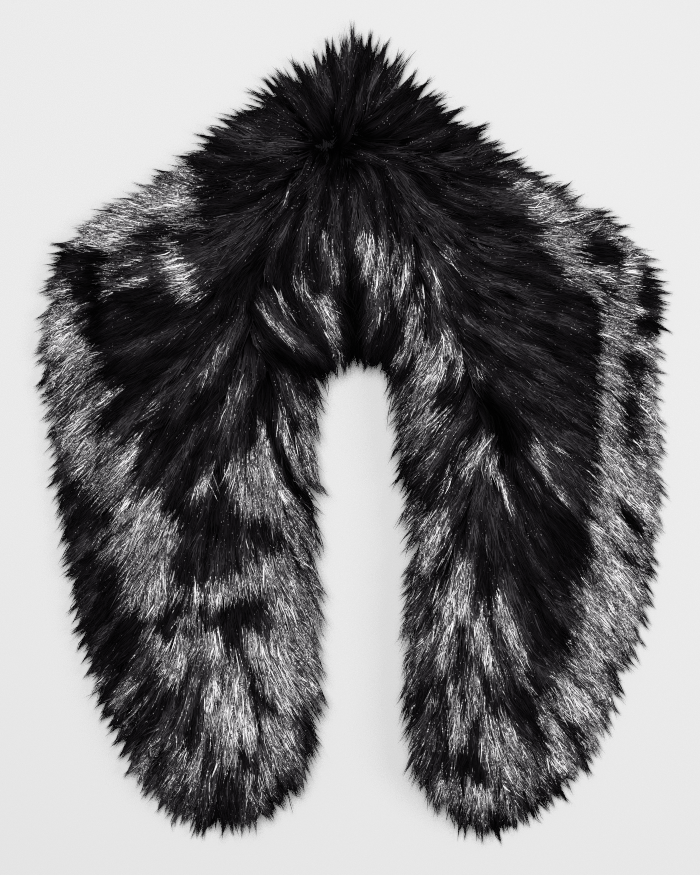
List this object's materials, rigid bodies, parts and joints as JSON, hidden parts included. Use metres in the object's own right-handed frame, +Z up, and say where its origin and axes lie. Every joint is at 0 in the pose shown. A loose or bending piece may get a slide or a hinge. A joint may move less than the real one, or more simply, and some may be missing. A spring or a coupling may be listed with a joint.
{
  "type": "fur collar wrap",
  "caption": "Long-pile faux-fur collar wrap laid flat: a horseshoe of dark fur with silver frosting, an upper layer over a wider under layer.",
  "frame": {"origin": "centre of the part's box, on the surface that it lies on", "axes": "+Y from the tips of the fronts to the peak at centre back, +X to the right seen from above, +Z up"},
  "size_m": [0.4522, 0.58, 0.0541],
  "materials": {
    "fall_fur": "long-pile faux fur, charcoal with silver-grey frosting",
    "under_fur": "long-pile faux fur, mostly silver-grey with dark tips"
  },
  "bodies": {
    "root": {"upper_left": "fall_fur", "upper_right": "fall_fur", "under_left": "under_fur", "under_right": "under_fur"}
  },
  "joints": []
}
